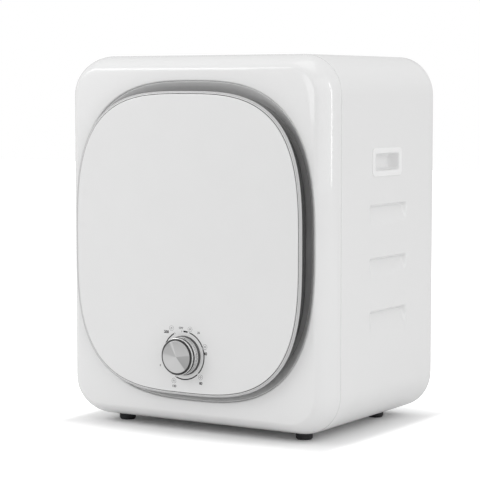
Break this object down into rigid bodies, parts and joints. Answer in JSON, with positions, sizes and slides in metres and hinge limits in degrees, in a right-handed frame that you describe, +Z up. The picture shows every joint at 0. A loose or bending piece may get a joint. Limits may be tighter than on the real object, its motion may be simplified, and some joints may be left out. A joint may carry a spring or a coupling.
{
  "type": "compact tumble dryer",
  "caption": "Compact vented tumble dryer with a rounded cabinet, a large squircle door with a programme knob, a belt-driven drum and a coaxial exhaust fan.",
  "frame": {"origin": "centre of the bounding box on the floor under the feet", "axes": "+X to the right seen from the front, +Y from the door to the rear, +Z up"},
  "size_m": [0.4924, 0.4172, 0.6],
  "materials": {
    "shell_white": "satin",
    "frame_white": "satin",
    "cup_white": "satin",
    "lip_grey": "satin",
    "bulkhead_grey": "satin",
    "galvanised": "satin",
    "cover_grey": "satin",
    "rubber_black": "matte",
    "seal_grey": "matte",
    "felt_tan": "matte",
    "bright_steel": "bright",
    "duct_plastic": "matte",
    "collar_white": "satin",
    "ceramic_fins": "satin",
    "motor_paint": "satin",
    "capacitor_white": "gloss",
    "terminal_ivory": "satin",
    "door_white": "satin",
    "rim_white": "satin",
    "trim_silver": "bright",
    "liner_white": "satin",
    "magnet_dark": "satin",
    "switch_black": "satin",
    "dial_silver": "satin",
    "knob_silver": "satin",
    "cap_spun": "spun",
    "drum_steel": "satin",
    "lifter_grey": "satin",
    "filter_white": "satin",
    "mesh_blue": "matte",
    "plunger_red": "satin"
  },
  "bodies": {
    "cabinet": {"cabinet_shell": "shell_white", "front_frame": "frame_white", "recess_lip": "lip_grey", "front_bulkhead": "bulkhead_grey", "mouth_collar": "bulkhead_grey", "door_seal": "seal_grey", "drum_glide_ring": "felt_tan", "rear_bulkhead": "galvanised", "bearing_housing": "galvanised", "drum_bearings": "bright_steel", "fan_housing": "duct_plastic", "exhaust_collar": "collar_white", "heater_box": "galvanised", "ptc_heater": "ceramic_fins", "rear_cover": "cover_grey", "cover_screws": "bright_steel", "cord_gland": "rubber_black", "motor_body": "motor_paint", "motor_bracket": "galvanised", "run_capacitor": "capacitor_white", "drum_belt": "rubber_black", "fan_belt": "rubber_black", "base_plate": "galvanised", "foot_front_left": "rubber_black", "foot_front_right": "rubber_black", "foot_rear_left": "rubber_black", "foot_rear_right": "rubber_black", "foot_screws": "bright_steel", "handle_left": "cup_white", "handle_right": "cup_white", "terminal_block": "terminal_ivory", "thermostat": "bright_steel", "hinge_brackets": "bright_steel", "hinge_pins": "bright_steel", "catch_plate": "bright_steel", "door_switch": "terminal_ivory"},
    "door": {"door_panel": "door_white", "door_rim": "rim_white", "door_edge_trim": "trim_silver", "door_liner": "liner_white", "hinge_leaves": "bright_steel", "liner_screws": "bright_steel", "door_magnet": "magnet_dark", "dial_ring": "dial_silver", "program_switch": "switch_black"},
    "knob": {"knob_body": "knob_silver", "knob_cap": "cap_spun", "knob_shaft": "bright_steel"},
    "drum": {"drum_shell": "drum_steel", "drum_front": "drum_steel", "drum_rear_wall": "drum_steel", "drum_lifters": "lifter_grey", "drum_shaft": "bright_steel"},
    "lint_filter": {"filter_frame": "filter_white", "filter_mesh": "mesh_blue"},
    "motor_rotor": {"motor_shaft": "bright_steel", "motor_pulleys": "switch_black"},
    "fan": {"fan_impeller": "duct_plastic", "fan_pulley": "switch_black"},
    "door_plunger": {"switch_plunger": "plunger_red"}
  },
  "joints": [
    {"name": "door_hinge", "type": "hinge", "parent": "cabinet", "child": "door", "pos_m": [-0.206, -0.1736, 0.305], "axis": [0, 0, -1], "range_deg": [0, 110]},
    {"name": "knob_turn", "type": "hinge", "parent": "door", "child": "knob", "pos_m": [0, -0.2006, 0.129], "axis": [0, 1, 0], "range_deg": [0, 330]},
    {"name": "drum_spin", "type": "hinge", "parent": "cabinet", "child": "drum", "pos_m": [0, 0.1384, 0.345], "axis": [0, 1, 0], "continuous": true},
    {"name": "filter_pull", "type": "slide", "parent": "drum", "child": "lint_filter", "axis": [0, -1, 0], "range_m": [0, 0.18]},
    {"name": "motor_spin", "type": "hinge", "parent": "cabinet", "child": "motor_rotor", "pos_m": [0.12, 0.0844, 0.078], "axis": [0, 1, 0], "continuous": true},
    {"name": "fan_spin", "type": "hinge", "parent": "cabinet", "child": "fan", "pos_m": [0, 0.1644, 0.345], "axis": [0, 1, 0], "continuous": true},
    {"name": "plunger_travel", "type": "slide", "parent": "cabinet", "child": "door_plunger", "axis": [0, -1, 0], "range_m": [0, 0.004]}
  ],
  "couplings": [
    {"joint": "motor_spin", "follows": "drum_spin", "ratio": 26.25},
    {"joint": "fan_spin", "follows": "drum_spin", "ratio": 23.162},
    {"joint": "plunger_travel", "follows": "door_hinge", "m_per_rad": 0.0020814}
  ]
}
